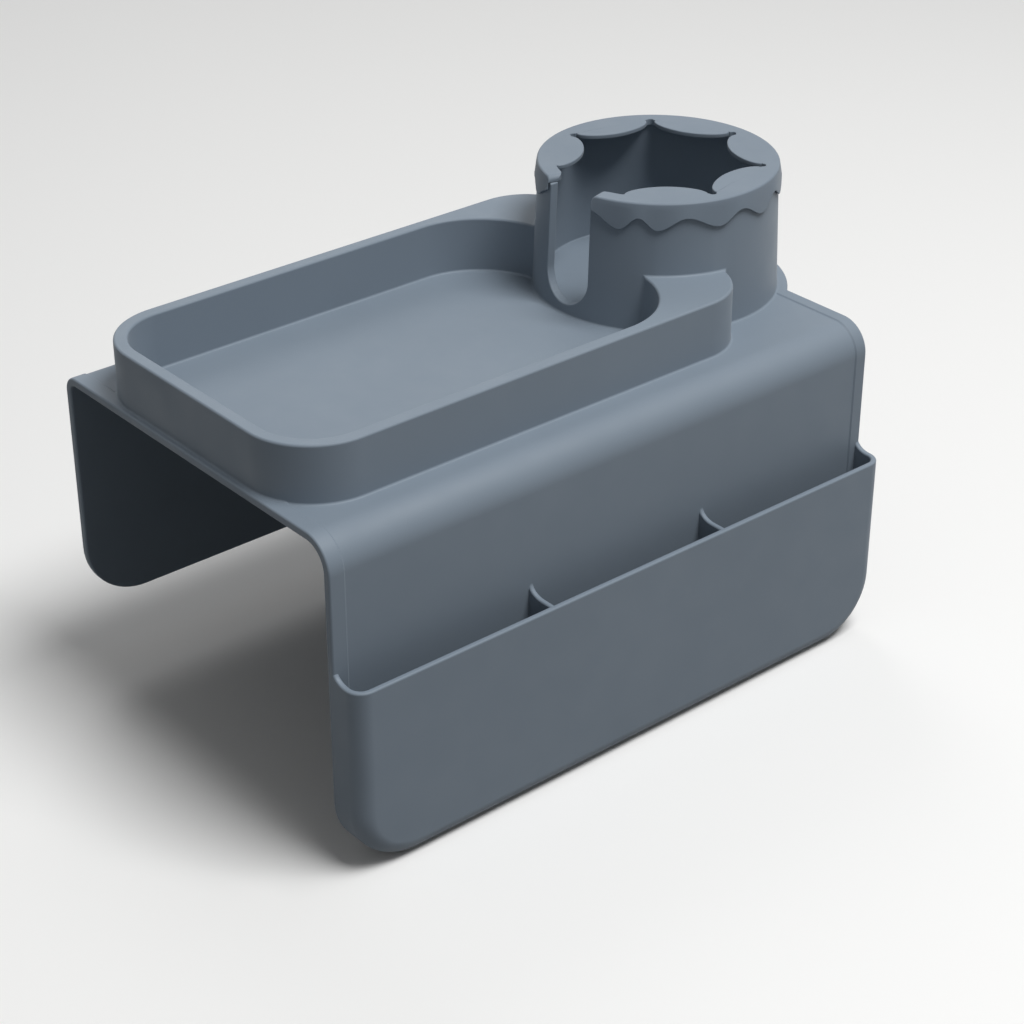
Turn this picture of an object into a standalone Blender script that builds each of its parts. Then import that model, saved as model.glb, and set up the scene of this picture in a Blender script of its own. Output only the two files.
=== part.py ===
"""Sofa arm tray: a moulded silicone saddle with a tray, a cup holder and a hanging pocket.

Metres, +Z up. The origin is the centre of the deck's underside, where it lies on the sofa's arm.
+X runs along the arm towards the cup holder, and -Y is the side that the pocket hangs on.
"""

from math import acos, atan2, cos, pi, radians, sin, sqrt

import bmesh
import bpy
from mathutils import Matrix

# Saddle
LENGTH = 0.311                # along the arm
SPAN = 0.1975                 # across the arm, over both hanging faces
SKIN = 0.004                  # thickness of deck, bends, panel and flap
FRONT_BEND_RADIUS = 0.015     # outer radius over the arm's front edge
REAR_BEND_RADIUS = 0.008      # outer radius over the arm's rear edge
FRONT_DROP = 0.156            # deck's top face to the panel's lower edge
REAR_DROP = 0.120             # deck's top face to the flap's lower edge
PANEL_CORNER = 0.030          # lower corners of panel, flap and pocket
JOIN_GAP = 0.0003             # clearance between neighbouring pieces

# Pocket
POCKET_DEPTH = 0.0158         # panel's face to the pocket's front face
POCKET_WALL = 0.0028
POCKET_RIM_DROP = 0.064       # deck's top face to the pocket's front rim
POCKET_EDGE = 0.008           # rounding along the pocket's front edges
RIM_RISE = 0.009              # how far side walls and dividers climb towards the panel
RIM_REACH_SHARE = 0.96        # of the way to the panel, where that climb ends
DIVIDER_WALL = 0.0026
DIVIDER_PLACE_SHARES = (0.340, 0.666)   # of the length, from the left end

# Tray
TRAY_INSET = 0.0026           # deck's left end to the wall
TRAY_DEPTH = 0.1576           # across the arm, over the wall
TRAY_OFFSET = 0.00325         # tray and cup axis behind the deck's centre line
TRAY_WALL = 0.0064
TRAY_HEIGHT = 0.0270          # rim above the deck
TRAY_CORNER = 0.033           # outer corner at the left end
RIM_ROUNDING = 0.0014
HORN_TIP_RADIUS = 0.030       # convex end of the wall, beside the sleeve
HORN_TIP_SETBACK = 0.0388     # that arc's centre, from the cup axis towards the tray
HORN_THROAT_RADIUS = 0.040    # concave corner between wall and sleeve
HORN_THROAT_SETBACK = 0.0834  # that arc's centre, from the cup axis towards the tray
HORN_ROOT_SHARE = 0.5         # of the sleeve's radius, where both contours end inside it

# Cup holder
CUP_INSET = 0.0405            # cup axis from the deck's right end
SLEEVE_TOP_RADIUS = 0.0566
SLEEVE_DRAFT = 0.0022         # the foot's radius beyond the top's
SLEEVE_WALL = 0.0045
SLEEVE_HEIGHT = 0.0592        # above the deck
LOBE_MARGIN = 0.0052          # deck's round lobe beyond the sleeve's foot
SLOT_WIDTH = 0.026            # handle slot in the sleeve
SLOT_SILL = 0.0050            # the slot's lowest point above the deck
FLOOR_THICKNESS = 0.0030
FLOOR_ROUNDING = 0.0010

# Cap
CAP_PLATE = 0.0030            # thickness of the cap's flat ring
CAP_RING_WIDTH = 0.0087       # the flat ring from its outer edge to its bore, beside the mouth
CAP_ROUNDING = 0.0012
CAP_MOUTH_MARGIN = 0.0035     # the cap's mouth beyond each side of the sleeve's slot
CAP_END_RADIUS = 0.0045       # rounding of the ring's ends in plan
SKIRT_WALL = 0.0013
SKIRT_CLEARANCE = 0.0004      # drips' tips to sleeve
SKIRT_CREST = 0.0072          # skirt's depth between drips, below the cap's top
DRIP_LENGTH = 0.0056          # drips below that
DRIP_WIDTH_SHARES = (0.89, 0.99, 1.19, 1.06, 0.96, 0.95, 0.96)   # of the mean, from the mouth
DRIP_DEPTH_SHARES = (1.00, 0.92, 0.88, 0.80, 0.95, 0.86, 0.98)   # of the drip's length
PETALS = 6
PETAL_THICKNESS = 0.0022
PETAL_ROOT_INSET = 0.0097     # cap's edge to the root of the slits between petals
PETAL_LENGTH = 0.0131         # a slit's root to the level of the petals' free edges
PETAL_PITCH_SHARE = 0.94      # a petal's width as a share of its pitch
PETAL_ROUNDNESS = 1.8         # exponent of the free edge's rounded outline

# Facets
BEND_STEPS = 8
CORNER_STEPS = 8
ARC_STEPS = 14
SLEEVE_STEPS = 96
CAP_STEPS = 126
PETAL_STEPS = 14
CUT_MARGIN = 0.010            # how far cutters reach past what they cut

# Places worked out from the sizes above
DECK_TOP = SKIN
LEFT_END = -LENGTH / 2
RIGHT_END = LENGTH / 2
FRONT_FACE = -SPAN / 2
REAR_FACE = SPAN / 2
FRONT_BEND_START = FRONT_FACE + FRONT_BEND_RADIUS
REAR_BEND_START = REAR_FACE - REAR_BEND_RADIUS
FRONT_BEND_END = DECK_TOP - FRONT_BEND_RADIUS
REAR_BEND_END = DECK_TOP - REAR_BEND_RADIUS
PANEL_BOTTOM = DECK_TOP - FRONT_DROP
FLAP_BOTTOM = DECK_TOP - REAR_DROP
CUP_X = RIGHT_END - CUP_INSET
CUP_Y = TRAY_OFFSET
SLEEVE_TOP = DECK_TOP + SLEEVE_HEIGHT
SLEEVE_TAPER = SLEEVE_DRAFT / SLEEVE_HEIGHT
SLEEVE_BASE_RADIUS = SLEEVE_TOP_RADIUS + SLEEVE_DRAFT
CAP_TOP = SLEEVE_TOP + JOIN_GAP + CAP_PLATE
DRIP_TIP_DROP = SKIRT_CREST + DRIP_LENGTH - CAP_PLATE
SKIRT_INNER = SLEEVE_TOP_RADIUS + SLEEVE_TAPER * DRIP_TIP_DROP + SKIRT_CLEARANCE
CAP_RADIUS = SKIRT_INNER + SKIRT_WALL
CAP_BORE_RADIUS = CAP_RADIUS - CAP_RING_WIDTH
CAP_MOUTH = SLOT_WIDTH + 2 * CAP_MOUTH_MARGIN
PETAL_ROOT_RADIUS = CAP_RADIUS - PETAL_ROOT_INSET
PETAL_TIP_RADIUS = PETAL_ROOT_RADIUS - PETAL_LENGTH
PETAL_PITCH = 2 * pi / (PETALS + 1)
PETAL_HALF = PETAL_PITCH * PETAL_PITCH_SHARE / 2
PETAL_HINGE = PETAL_ROOT_RADIUS * cos(PETAL_HALF)
PETAL_MID = CAP_TOP - PETAL_THICKNESS / 2
QUARTER_ARC_SHARE = pi / 4    # of a bend's middle radius, from its start out to its fold line

SILICONE = (0.150, 0.187, 0.226, 1.0)
CAP_SILICONE = (0.158, 0.195, 0.235, 1.0)
ROUGHNESS = 0.62
SHARP_ANGLE = radians(35)


def clear_scene():
    """Remove every object that the file opened with."""
    for old in list(bpy.data.objects):
        bpy.data.objects.remove(old, do_unlink=True)


def silicone(name, colour):
    """A matte moulded silicone for one piece."""
    finish = bpy.data.materials.new(name)
    finish.use_nodes = True
    shader = finish.node_tree.nodes["Principled BSDF"]
    shader.inputs["Base Color"].default_value = colour
    shader.inputs["Roughness"].default_value = ROUGHNESS
    shader.inputs["Metallic"].default_value = 0.0
    return finish


def add_object(name, form):
    """Turn a bmesh into an object of the scene."""
    bmesh.ops.recalc_face_normals(form, faces=form.faces)
    mesh = bpy.data.meshes.new(name)
    form.to_mesh(mesh)
    form.free()
    made = bpy.data.objects.new(name, mesh)
    bpy.context.collection.objects.link(made)
    return made


def add_piece(name, form, colour=SILICONE, parent=None):
    """Turn a bmesh into a named piece with its own material."""
    piece = add_object(name, form)
    piece.data.materials.append(silicone(name + "_silicone", colour))
    piece.data.shade_smooth()
    piece.data.set_sharp_from_angle(angle=SHARP_ANGLE)
    piece.parent = parent
    return piece


def add_empty(name, place, parent=None):
    """An empty that marks a joint's axis and carries what moves on it."""
    empty = bpy.data.objects.new(name, None)
    empty.location = place
    empty.parent = parent
    bpy.context.collection.objects.link(empty)
    return empty


def add_cutter(name, form, parent=None):
    """A wire-drawn helper that is cut out of a piece."""
    cutter = add_object(name, form)
    cutter.parent = parent
    cutter.hide_render = True
    cutter.display_type = "WIRE"
    return cutter


def cut(piece, cutter):
    """Take a cutter's shape out of a piece."""
    boolean = piece.modifiers.new("cut_" + cutter.name, "BOOLEAN")
    boolean.object = cutter
    boolean.operation = "DIFFERENCE"
    boolean.solver = "EXACT"


def arc(centre, radius, start, end, steps):
    """Points along an arc, both ends included."""
    points = []
    for step in range(steps + 1):
        angle = start + (end - start) * step / steps
        points.append((centre[0] + radius * cos(angle), centre[1] + radius * sin(angle)))
    return points


def stack(layers):
    """A closed bmesh through layers of 3-D points, all with the same count."""
    form = bmesh.new()
    rings = [[form.verts.new(point) for point in layer] for layer in layers]
    for low, high in zip(rings, rings[1:]):
        for index in range(len(low)):
            following = (index + 1) % len(low)
            form.faces.new((low[index], low[following], high[following], high[index]))
    form.faces.new(rings[0])
    form.faces.new(rings[-1])
    return form


def extrude_z(outline, low, high):
    """A prism from a plan outline."""
    return stack([[(x, y, z) for x, y in outline] for z in (low, high)])


def extrude_x(outline, left, right):
    """A prism from an outline in Y and Z."""
    return stack([[(x, y, z) for y, z in outline] for x in (left, right)])


def extrude_y(outline, front, rear):
    """A prism from a front-view outline in X and Z."""
    return stack([[(x, y, z) for x, z in outline] for y in (front, rear)])


def circle(radius, z):
    """Points round the cup axis at one height."""
    around = arc((CUP_X, CUP_Y), radius, 0, 2 * pi, SLEEVE_STEPS)
    return [(x, y, z) for x, y in around[:-1]]


def turned_disc(profile):
    """A turned solid round the cup axis, from a profile of (radius, z) up its side."""
    return stack([circle(radius, z) for radius, z in profile])


def turned_wall(profile):
    """A turned tube round the cup axis, from a closed profile of (radius, z)."""
    form = bmesh.new()
    rings = [[form.verts.new(point) for point in circle(radius, z)] for radius, z in profile]
    for here, there in zip(rings, rings[1:] + rings[:1]):
        for index in range(SLEEVE_STEPS):
            following = (index + 1) % SLEEVE_STEPS
            form.faces.new((here[index], here[following], there[following], there[index]))
    return form


def round_edges(form, width, steps, wanted):
    """Bevel the edges that a test picks by their two ends."""
    edges = [edge for edge in form.edges if wanted(edge.verts[0].co, edge.verts[1].co)]
    bmesh.ops.bevel(
        form, geom=edges, offset=width, segments=steps, affect="EDGES", profile=0.5,
        clamp_overlap=True,
    )


def hanging_outline(half_width, top, bottom, corner):
    """Front-view outline of a panel with two rounded lower corners."""
    points = [(half_width, top)]
    points += reversed(arc((half_width - corner, bottom + corner), corner, -pi / 2, 0, CORNER_STEPS))
    points += reversed(arc((corner - half_width, bottom + corner), corner, -pi, -pi / 2, CORNER_STEPS))
    points.append((-half_width, top))
    return points


def sleeve_radius(height):
    """The sleeve's outer radius at a height above the deck."""
    return SLEEVE_BASE_RADIUS - SLEEVE_TAPER * height


def make_deck():
    """The flat top of the saddle, with the lobe under the cup holder."""
    front = FRONT_BEND_START
    rear = REAR_BEND_START
    lobe = SLEEVE_BASE_RADIUS + LOBE_MARGIN
    outline = [(LEFT_END, rear), (LEFT_END, front), (RIGHT_END, front)]
    reach = acos(min(CUP_INSET / lobe, 1.0))
    outline += arc((CUP_X, CUP_Y), lobe, -reach, reach, 2 * ARC_STEPS)
    outline.append((RIGHT_END, rear))
    return add_piece("deck", extrude_z(outline, 0, DECK_TOP))


def bend_outline(start_y, radius, side):
    """Profile of a quarter bend in Y and Z, from the deck's end down to the hanging panel."""
    centre = (start_y, DECK_TOP - radius)
    outer_trim = JOIN_GAP / radius
    inner = radius - SKIN
    inner_trim = JOIN_GAP / inner
    outer = arc(centre, radius, pi / 2 + side * outer_trim, pi / 2 + side * (pi / 2), BEND_STEPS)
    back = arc(centre, inner, pi / 2 + side * (pi / 2), pi / 2 + side * inner_trim, BEND_STEPS)
    return outer + back


def make_bends():
    """The two curved stretches that flex when a hanging panel is lifted."""
    front = bend_outline(FRONT_BEND_START, FRONT_BEND_RADIUS, 1)
    rear = bend_outline(REAR_BEND_START, REAR_BEND_RADIUS, -1)
    add_piece("front_bend", extrude_x(front, LEFT_END, RIGHT_END))
    add_piece("rear_bend", extrude_x(rear, LEFT_END, RIGHT_END))


def fold_line(start_y, radius, side):
    """Where a flattened bend's two ends turn about each other: its length stays the same."""
    middle = radius - SKIN / 2
    out = middle * QUARTER_ARC_SHARE
    return (0, start_y + side * out, DECK_TOP - SKIN / 2 - (middle - out))


def moved_back(joint):
    """Shifts a mesh so that it stays where it is drawn under a joint's empty."""
    return Matrix.Translation(-joint.location)


def make_front_panel(fold):
    """The flat panel that hangs down the arm's front side."""
    outline = hanging_outline(
        LENGTH / 2, FRONT_BEND_END - JOIN_GAP, PANEL_BOTTOM, PANEL_CORNER)
    form = extrude_y(outline, FRONT_FACE, FRONT_FACE + SKIN)
    form.transform(moved_back(fold))
    add_piece("front_panel", form, parent=fold)


def make_rear_flap(fold):
    """The shorter flap behind the arm."""
    outline = hanging_outline(LENGTH / 2, REAR_BEND_END - JOIN_GAP, FLAP_BOTTOM, PANEL_CORNER)
    form = extrude_y(outline, REAR_FACE - SKIN, REAR_FACE)
    form.transform(moved_back(fold))
    add_piece("rear_flap", form, parent=fold)


def pocket_rim():
    """The rim seen from the side: level at the front, then climbing to the panel."""
    rim = DECK_TOP - POCKET_RIM_DROP
    start = FRONT_FACE - POCKET_DEPTH + POCKET_WALL
    run = FRONT_FACE - start
    points = []
    for step in range(CORNER_STEPS + 1):
        share = RIM_REACH_SHARE * step / CORNER_STEPS
        points.append((start + run * share, rim + RIM_RISE * (1 - sqrt(1 - share * share))))
    return points


def pocket_layers(wall, edge, front, back):
    """Front-view outlines stacked in Y, rounded towards the front face."""
    top = DECK_TOP - POCKET_RIM_DROP + RIM_RISE + CUT_MARGIN
    layers = []
    for step in range(CORNER_STEPS + 1):
        angle = pi / 2 * step / CORNER_STEPS
        inset = wall + edge * (1 - sin(angle))
        y = front + edge * (1 - cos(angle))
        outline = hanging_outline(
            LENGTH / 2 - inset, top, PANEL_BOTTOM + inset, PANEL_CORNER - inset)
        layers.append([(x, y, z) for x, z in outline])
    layers.append([(x, back, z) for x, y, z in layers[-1]])
    return layers


def make_pocket(fold):
    """The pocket's front, sides and floor, and its two dividers."""
    front = FRONT_FACE - POCKET_DEPTH
    back = FRONT_FACE - JOIN_GAP
    shell_form = stack(pocket_layers(0, POCKET_EDGE, front, back))
    hollow_form = stack(pocket_layers(
        POCKET_WALL, POCKET_EDGE - POCKET_WALL, front + POCKET_WALL, back + CUT_MARGIN))
    rim = pocket_rim()
    top = rim[-1][1] + 2 * CUT_MARGIN
    over_rim = [(front - CUT_MARGIN, rim[0][1])] + rim
    over_rim += [(back + CUT_MARGIN, rim[-1][1]), (back + CUT_MARGIN, top)]
    over_rim.append((front - CUT_MARGIN, top))
    over_form = extrude_x(over_rim, LEFT_END - CUT_MARGIN, RIGHT_END + CUT_MARGIN)
    shift = moved_back(fold)
    for form in (shell_form, hollow_form, over_form):
        form.transform(shift)
    shell = add_piece("pocket_shell", shell_form, parent=fold)
    for name, form in (("pocket_hollow", hollow_form), ("pocket_over_rim", over_form)):
        cut(shell, add_cutter(name, form, fold))
    floor = PANEL_BOTTOM + POCKET_WALL + JOIN_GAP
    inner = front + POCKET_WALL + JOIN_GAP
    heel = POCKET_EDGE - POCKET_WALL
    side = [(back, floor)]
    side += reversed(arc((inner + heel, floor + heel), heel, pi, 3 * pi / 2, CORNER_STEPS))
    side += [(max(y, inner), z) for y, z in rim]
    side.append((back, rim[-1][1]))
    for name, share in zip(("left", "right"), DIVIDER_PLACE_SHARES):
        middle = LEFT_END + LENGTH * share
        form = extrude_x(side, middle - DIVIDER_WALL / 2, middle + DIVIDER_WALL / 2)
        form.transform(shift)
        add_piece("pocket_divider_" + name, form, parent=fold)


def tray_contour(inset, radius, setback, side):
    """Half a tray contour, from the left end to the arc that runs into the sleeve."""
    half = TRAY_DEPTH / 2 - inset
    left = LEFT_END + TRAY_INSET + inset
    corner = TRAY_CORNER - inset
    points = arc((left + corner, corner - half), corner, pi, 3 * pi / 2, ARC_STEPS)
    points += arc((CUP_X - setback, radius - half), radius, -pi / 2, 0, ARC_STEPS)
    return [(x, CUP_Y - side * y) for x, y in points]


def make_tray_wall():
    """The raised rim round the tray, whose two horns run into the sleeve."""
    root = SLEEVE_TOP_RADIUS * HORN_ROOT_SHARE
    halves = []
    for side in (1, -1):
        half = tray_contour(0, HORN_TIP_RADIUS, HORN_TIP_SETBACK, side)
        half.append((CUP_X, CUP_Y + side * root))
        half.append((CUP_X - root, CUP_Y + side * root / 2))
        half += reversed(tray_contour(TRAY_WALL, HORN_THROAT_RADIUS, HORN_THROAT_SETBACK, side))
        halves.append(half)
    outline = halves[0] + list(reversed(halves[1]))
    low = DECK_TOP + JOIN_GAP
    high = DECK_TOP + TRAY_HEIGHT
    form = extrude_z(outline, low, high)
    round_edges(form, RIM_ROUNDING, 2, lambda a, b: min(a.z, b.z) > high - JOIN_GAP)
    wall = add_piece("tray_wall", form)
    cone = turned_disc([
        (sleeve_radius(-CUT_MARGIN) + JOIN_GAP, DECK_TOP - CUT_MARGIN),
        (sleeve_radius(SLEEVE_HEIGHT) + JOIN_GAP, SLEEVE_TOP),
    ])
    cut(wall, add_cutter("sleeve_clearance", cone))


def make_sleeve():
    """The cup holder's tapered wall with its U-shaped handle slot."""
    low = DECK_TOP + JOIN_GAP
    profile = [
        (sleeve_radius(0), low),
        (SLEEVE_TOP_RADIUS, SLEEVE_TOP),
        (SLEEVE_TOP_RADIUS - SLEEVE_WALL, SLEEVE_TOP),
        (sleeve_radius(0) - SLEEVE_WALL, low),
    ]
    sleeve = add_piece("cup_sleeve", turned_wall(profile))
    half = SLOT_WIDTH / 2
    sill = DECK_TOP + SLOT_SILL
    slot = arc((CUP_Y, sill + half), half, -pi, 0, 2 * ARC_STEPS)
    slot += [(CUP_Y + half, SLEEVE_TOP + CUT_MARGIN), (CUP_Y - half, SLEEVE_TOP + CUT_MARGIN)]
    form = extrude_x(slot, CUP_X - SLEEVE_BASE_RADIUS - CUT_MARGIN, CUP_X)
    cut(sleeve, add_cutter("handle_slot", form))


def make_cup_floor():
    """The raised seat that the cup stands on."""
    radius = SLEEVE_BASE_RADIUS - SLEEVE_WALL - 2 * JOIN_GAP
    taper = SLEEVE_TAPER * FLOOR_THICKNESS
    low = DECK_TOP + JOIN_GAP
    high = low + FLOOR_THICKNESS
    add_piece("cup_floor", turned_disc([
        (radius - taper, low),
        (radius - taper, high - FLOOR_ROUNDING),
        (radius - taper - FLOOR_ROUNDING, high),
    ]))


def drip_depth(share):
    """The skirt's depth below the cap's top, at a share of the way round from the mouth."""
    widths = list(DRIP_WIDTH_SHARES) + list(reversed(DRIP_WIDTH_SHARES))
    depths = list(DRIP_DEPTH_SHARES) + list(reversed(DRIP_DEPTH_SHARES))
    place = share * sum(widths)
    for width, depth in zip(widths, depths):
        if place <= width:
            wave = (1 - cos(2 * pi * place / width)) / 2
            return SKIRT_CREST + DRIP_LENGTH * depth * wave
        place -= width
    return SKIRT_CREST


def bore_at(angle):
    """The ring's inner edge: straight along each petal's root, round elsewhere."""
    spread = PETALS * PETAL_PITCH / 2
    if abs(angle) > spread - (PETAL_PITCH / 2 - PETAL_HALF):
        return CAP_BORE_RADIUS
    nearest = min(petal_angles(), key=lambda centre: abs(angle - centre))
    off = abs(angle - nearest)
    if off > PETAL_HALF:
        return PETAL_ROOT_RADIUS + JOIN_GAP
    return (PETAL_HINGE + JOIN_GAP) / cos(off)


def petal_angles():
    """Directions of the petals from the cup axis: the mouth faces -X."""
    first = -(PETALS - 1) / 2
    return [(first + index) * PETAL_PITCH for index in range(PETALS)]


def make_collar(lift):
    """The cap ring: a flat plate and a skirt with a wavy, dripping edge."""
    half_mouth = atan2(CAP_MOUTH / 2, CAP_RADIUS)
    start = half_mouth - pi
    end = pi - half_mouth
    stations = {start + (end - start) * step / CAP_STEPS for step in range(CAP_STEPS + 1)}
    corner = JOIN_GAP / CAP_RADIUS
    for centre in petal_angles():
        for half in (PETAL_HALF, PETAL_HALF + corner):
            stations |= {centre - half, centre + half}
    under = CAP_TOP - CAP_PLATE
    shoulder = CAP_ROUNDING * (1 - sin(pi / 4))
    layers = []
    for angle in sorted(stations):
        from_end = min(angle - start, end - angle) * CAP_RADIUS
        short = max(0, CAP_END_RADIUS - from_end)
        pull = CAP_END_RADIUS - sqrt(max(0, CAP_END_RADIUS ** 2 - short ** 2))
        bore = bore_at(angle)
        middle = (SKIRT_INNER + bore) / 2
        bore = min(bore + pull, middle)
        depth = drip_depth((angle - start) / (end - start))
        edge = CAP_TOP - depth
        section = [
            (bore, under),
            (bore, CAP_TOP),
            (CAP_RADIUS - CAP_ROUNDING, CAP_TOP),
            (CAP_RADIUS - shoulder, CAP_TOP - shoulder),
            (CAP_RADIUS, CAP_TOP - CAP_ROUNDING),
            (CAP_RADIUS, edge),
            (SKIRT_INNER, edge),
            (SKIRT_INNER, under),
        ]
        layers.append([
            (radius * cos(angle), radius * sin(angle), z - lift.location.z)
            for radius, z in section
        ])
    add_piece("grip_collar", stack(layers), CAP_SILICONE, parent=lift)


def petal_form():
    """One petal about its own hinge line, pointing along -X, with a V-cut root to bend at."""
    reach = PETAL_HINGE - PETAL_TIP_RADIUS
    half = PETAL_ROOT_RADIUS * sin(PETAL_HALF)
    half_thick = PETAL_THICKNESS / 2
    edge = []
    for step in range(PETAL_STEPS + 1):
        angle = pi * step / PETAL_STEPS
        x = -reach * abs(sin(angle)) ** (2 / PETAL_ROUNDNESS)
        y = -half * abs(cos(angle)) ** (2 / PETAL_ROUNDNESS) * (1 if angle < pi / 2 else -1)
        edge.append((x, y))
    layers = []
    for z in (-half_thick, 0, half_thick):
        layers.append([(min(x, -abs(z)), y, z) for x, y in edge])
    return stack(layers)


def make_petals(lift):
    """Six petals, each with its origin on its hinge line."""
    for number, angle in enumerate(petal_angles(), 1):
        place = Matrix.Translation((
            PETAL_HINGE * cos(angle), PETAL_HINGE * sin(angle), PETAL_MID - lift.location.z))
        place = place @ Matrix.Rotation(angle, 4, "Z")
        petal = add_piece("grip_petal_" + str(number), petal_form(), CAP_SILICONE)
        petal.parent = lift
        petal.matrix_basis = place


def main():
    """Build the whole tray."""
    clear_scene()
    front_fold = add_empty("front_fold", fold_line(FRONT_BEND_START, FRONT_BEND_RADIUS, -1))
    rear_fold = add_empty("rear_fold", fold_line(REAR_BEND_START, REAR_BEND_RADIUS, 1))
    cap_lift = add_empty("cap_lift", (CUP_X, CUP_Y, SLEEVE_TOP))
    make_deck()
    make_bends()
    make_front_panel(front_fold)
    make_pocket(front_fold)
    make_rear_flap(rear_fold)
    make_tray_wall()
    make_sleeve()
    make_cup_floor()
    make_collar(cap_lift)
    make_petals(cap_lift)


main()
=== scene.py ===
"""Sofa arm tray, moulded in silicone: its finished surfaces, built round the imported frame.

Metres, +Z up, in the frame's own place. +X runs along the arm towards the cup holder, and -Y is
the side that the pocket hangs on.
"""

import logging
from collections.abc import Callable, Sequence
from dataclasses import dataclass
from enum import Enum
from functools import cache
from math import atan2, cos, hypot, pi, radians, sin, sqrt

import bmesh
import bpy
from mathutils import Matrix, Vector
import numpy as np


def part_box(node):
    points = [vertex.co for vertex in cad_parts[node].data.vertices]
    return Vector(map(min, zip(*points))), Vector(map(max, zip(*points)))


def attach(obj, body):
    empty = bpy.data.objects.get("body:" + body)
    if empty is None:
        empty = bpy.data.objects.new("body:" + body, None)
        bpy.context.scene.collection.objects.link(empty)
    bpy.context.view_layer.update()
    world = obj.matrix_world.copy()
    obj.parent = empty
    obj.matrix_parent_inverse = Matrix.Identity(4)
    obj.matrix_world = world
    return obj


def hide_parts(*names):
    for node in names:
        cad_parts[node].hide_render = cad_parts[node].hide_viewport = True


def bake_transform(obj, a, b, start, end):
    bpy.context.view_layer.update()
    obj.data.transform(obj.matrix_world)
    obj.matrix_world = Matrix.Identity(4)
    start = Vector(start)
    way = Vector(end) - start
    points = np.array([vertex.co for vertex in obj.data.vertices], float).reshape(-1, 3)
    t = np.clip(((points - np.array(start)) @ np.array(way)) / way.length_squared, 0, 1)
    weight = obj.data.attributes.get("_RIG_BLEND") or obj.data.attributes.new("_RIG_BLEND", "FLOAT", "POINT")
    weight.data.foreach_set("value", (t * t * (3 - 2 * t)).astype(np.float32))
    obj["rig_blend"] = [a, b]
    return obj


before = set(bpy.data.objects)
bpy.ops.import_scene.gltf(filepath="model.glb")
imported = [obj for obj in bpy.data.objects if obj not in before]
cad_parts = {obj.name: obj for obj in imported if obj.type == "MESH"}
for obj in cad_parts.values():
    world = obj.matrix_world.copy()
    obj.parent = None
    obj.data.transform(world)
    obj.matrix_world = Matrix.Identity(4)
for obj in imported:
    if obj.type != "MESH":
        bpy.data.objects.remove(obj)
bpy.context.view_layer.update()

MM = 0.001
TIDY = 0.004 * MM              # points closer than this are one point
SOFT_TURN = radians(29)        # edges that turn less than this are shaded as curves
FLAT_TURN = radians(0.2)       # edges that turn less than this lie in a flat and are dissolved
SQUARE = pi / 2
REACH = 12 * MM                # how far cutters reach past what they cut
SLACK = 0.1 * MM               # how far off an edge may lie when it is found by its place
log = logging.getLogger("arm_tray")


@cache
def box(node: str) -> tuple[Vector, Vector]:
    """A frame node's lowest and highest corners, measured once."""
    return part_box(node)


# Work at the bench

@dataclass(frozen=True)
class EdgeSite:
    """Where an edge lies and how its faces meet.

    Attributes:
        middle: the edge's midpoint.
        along: its unit direction.
        turn: the angle between its two faces, positive where the edge sticks out.
    """

    middle: Vector
    along: Vector
    turn: float


class Joinery(Enum):
    """How a second solid changes the first."""

    ADD = "UNION"
    CUT = "DIFFERENCE"


class Part(Enum):
    """What is worked on in edit mode."""

    POINTS = "VERT"
    EDGES = "EDGE"
    FACES = "FACE"


def put_down() -> None:
    """Leave edit mode with nothing selected."""
    if bpy.context.object and bpy.context.object.mode != "OBJECT":
        bpy.ops.object.mode_set(mode="OBJECT")
    bpy.ops.object.select_all(action="DESELECT")


def pick_up(piece: bpy.types.Object) -> None:
    """Make one piece the only selected and active one.

    Args:
        piece: the piece.
    """
    put_down()
    piece.select_set(True)
    bpy.context.view_layer.objects.active = piece


def settle(name: str) -> bpy.types.Object:
    """Name the primitive just added and put its place into its mesh.

    Args:
        name: the piece's name.

    Returns:
        The piece, with its object at the origin, unturned and unscaled.
    """
    piece = bpy.context.object
    piece.name = name
    piece.data.name = name
    bpy.ops.object.transform_apply(location=True, rotation=True, scale=True)
    return piece


def add_block(name: str, low: Sequence[float], high: Sequence[float]) -> bpy.types.Object:
    """Add a block between two corners, with exactly their coordinates.

    Args:
        name: the block's name.
        low: its lowest corner.
        high: its highest corner.

    Returns:
        The block.
    """
    put_down()
    low, high = Vector(low), Vector(high)
    middle = (low + high) / 2
    bpy.ops.mesh.primitive_cube_add(size=1, location=middle, scale=high - low)
    block = settle(name)
    for point in block.data.vertices:
        point.co = [high[i] if point.co[i] > middle[i] else low[i] for i in range(3)]
    return block


def add_drum(name: str, radius: float, centre: Vector, low: float, high: float,
             sides: int) -> bpy.types.Object:
    """Add an upright drum.

    Args:
        name: the drum's name.
        radius: its radius.
        centre: a point on its axis.
        low: the height of its lower face.
        high: the height of its upper face.
        sides: how many sides it has.

    Returns:
        The drum.
    """
    put_down()
    bpy.ops.mesh.primitive_cylinder_add(
        vertices=sides, radius=radius, depth=high - low,
        location=(centre.x, centre.y, (low + high) / 2),
    )
    drum = settle(name)
    for point in drum.data.vertices:
        point.co.z = high if point.co.z > (low + high) / 2 else low
    return drum


def open_up(piece: bpy.types.Object, part: Part) -> bmesh.types.BMesh:
    """Enter a piece's edit mode with nothing selected.

    Args:
        piece: the piece to edit.
        part: what is going to be selected.

    Returns:
        The piece's mesh as edit mode holds it.
    """
    pick_up(piece)
    bpy.ops.object.mode_set(mode="EDIT")
    bpy.ops.mesh.select_mode(type=part.value)
    bpy.ops.mesh.select_all(action="DESELECT")
    return bmesh.from_edit_mesh(piece.data)


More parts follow.
